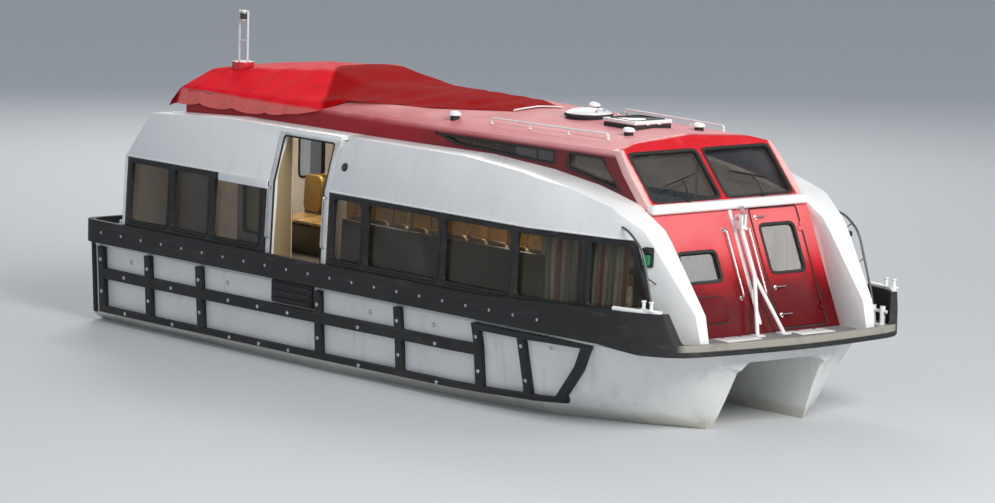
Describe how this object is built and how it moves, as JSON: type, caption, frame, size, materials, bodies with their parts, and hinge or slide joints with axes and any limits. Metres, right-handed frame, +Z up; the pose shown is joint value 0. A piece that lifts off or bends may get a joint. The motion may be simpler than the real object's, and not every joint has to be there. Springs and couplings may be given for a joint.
{
  "type": "enclosed twin-hull lifeboat",
  "caption": "Enclosed twin-hull lifeboat and tender with a red roof, white side mouldings, dark window bands, fender grids, sliding side doors, hatches, propellers and rudders.",
  "frame": {"origin": "on the waterline amidships, on the centreline between the two hulls", "axes": "+X to the bow, +Y to port, +Z up"},
  "size_m": [13.1, 4.68, 5.59],
  "materials": {
    "hull_gelcoat": "white gelcoat, weathered",
    "white_gelcoat": "white gelcoat",
    "deck_grey": "non-slip grey",
    "fender_rubber": "black fender rubber",
    "window_band": "dark semi-gloss",
    "tinted_glass": "clear tinted",
    "red_gelcoat": "red gelcoat",
    "faded_red": "sun-faded red gelcoat",
    "white_paint": "white paint",
    "steel": "stainless",
    "bronze": "propeller bronze",
    "engine_paint": "grey enamel",
    "seat_beige": "moulded seat, matt"
  },
  "bodies": {
    "boat": {"hull": "hull_gelcoat", "deck": "deck_grey", "gunwale_belt_port": "fender_rubber", "gunwale_belt_starboard": "fender_rubber", "fender_grid_port": "fender_rubber", "fender_grid_starboard": "fender_rubber", "side_wall_aft_port": "window_band", "side_wall_aft_starboard": "window_band", "side_wall_forward_port": "window_band", "side_wall_forward_starboard": "window_band", "side_wall_bow_port": "window_band", "side_wall_bow_starboard": "window_band", "side_glass_aft_port": "tinted_glass", "side_glass_aft_starboard": "tinted_glass", "side_glass_forward_port": "tinted_glass", "side_glass_forward_starboard": "tinted_glass", "shoulder_aft_port": "white_gelcoat", "shoulder_aft_starboard": "white_gelcoat", "wing_port": "white_gelcoat", "wing_starboard": "white_gelcoat", "door_frame_port": "white_gelcoat", "door_frame_starboard": "white_gelcoat", "aft_wall": "white_gelcoat", "front_wall": "red_gelcoat", "front_window_glass": "tinted_glass", "windscreen_frame": "red_gelcoat", "windscreen_glass": "tinted_glass", "cabin_roof": "faded_red", "clerestory_glass_port": "tinted_glass", "clerestory_glass_starboard": "tinted_glass", "canopy": "red_gelcoat", "engine_port": "engine_paint", "engine_starboard": "engine_paint", "shaft_port": "steel", "shaft_starboard": "steel", "bow_bitt_port": "white_paint", "bow_bitt_starboard": "white_paint", "stern_bitt_port": "white_paint", "stern_bitt_starboard": "white_paint", "lifting_post_forward": "white_paint", "lifting_post_aft": "white_paint", "mast": "white_paint", "bench_port": "seat_beige", "bench_starboard": "seat_beige", "centre_bench": "seat_beige", "helm_console": "window_band"},
    "propeller_port": {"propeller_port": "bronze"},
    "propeller_starboard": {"propeller_starboard": "bronze"},
    "rudder_port": {"rudder_port": "steel"},
    "rudder_starboard": {"rudder_starboard": "steel"},
    "side_door_port": {"side_door_port": "white_gelcoat"},
    "side_door_starboard": {"side_door_starboard": "white_gelcoat"},
    "front_door": {"front_door": "red_gelcoat", "front_door_glass": "tinted_glass"},
    "aft_door": {"aft_door": "white_gelcoat"},
    "dome_hatch": {"dome_hatch": "white_gelcoat"},
    "helm_hatch": {"helm_hatch": "faded_red"},
    "lifting_hook_forward": {"lifting_hook_forward": "steel"},
    "lifting_hook_aft": {"lifting_hook_aft": "steel"}
  },
  "joints": [
    {"name": "propeller_port_spin", "type": "hinge", "parent": "boat", "child": "propeller_port", "pos_m": [-5.88, 1.24, -0.73], "axis": [1, 0, 0], "continuous": true},
    {"name": "propeller_starboard_spin", "type": "hinge", "parent": "boat", "child": "propeller_starboard", "pos_m": [-5.88, -1.24, -0.73], "axis": [1, 0, 0], "continuous": true},
    {"name": "rudder_port_turn", "type": "hinge", "parent": "boat", "child": "rudder_port", "pos_m": [-6.27, 1.24, -0.6], "axis": [0, 0, 1], "range_deg": [-35, 35]},
    {"name": "rudder_starboard_turn", "type": "hinge", "parent": "boat", "child": "rudder_starboard", "pos_m": [-6.27, -1.24, -0.6], "axis": [0, 0, 1], "range_deg": [-35, 35]},
    {"name": "side_door_port_slide", "type": "slide", "parent": "boat", "child": "side_door_port", "axis": [1, 0, 0], "range_m": [0, 1.24]},
    {"name": "side_door_starboard_slide", "type": "slide", "parent": "boat", "child": "side_door_starboard", "axis": [1, 0, 0], "range_m": [0, 1.24]},
    {"name": "front_door_swing", "type": "hinge", "parent": "boat", "child": "front_door", "pos_m": [5.64541, 1.153, 1.21718], "axis": [-0.4226, 0, 0.9063], "range_deg": [0, 100]},
    {"name": "aft_door_swing", "type": "hinge", "parent": "boat", "child": "aft_door", "pos_m": [-5.167, 1.023, 2.1], "axis": [0, 0, -1], "range_deg": [0, 90]},
    {"name": "dome_hatch_lift", "type": "hinge", "parent": "boat", "child": "dome_hatch", "pos_m": [1.63, 0, 3.73], "axis": [0, -1, 0], "range_deg": [0, 95]},
    {"name": "helm_hatch_lift", "type": "hinge", "parent": "boat", "child": "helm_hatch", "pos_m": [3.345, 0, 3.745], "axis": [0, 1, 0], "range_deg": [0, 100]},
    {"name": "lifting_hook_forward_turn", "type": "hinge", "parent": "boat", "child": "lifting_hook_forward", "pos_m": [5.14, 0, 2.68], "axis": [0, 1, 0], "range_deg": [0, 60]},
    {"name": "lifting_hook_aft_turn", "type": "hinge", "parent": "boat", "child": "lifting_hook_aft", "pos_m": [-5.95, 0, 2.68], "axis": [0, -1, 0], "range_deg": [0, 60]}
  ],
  "couplings": [
    {"joint": "rudder_starboard_turn", "follows": "rudder_port_turn", "ratio": 1}
  ]
}
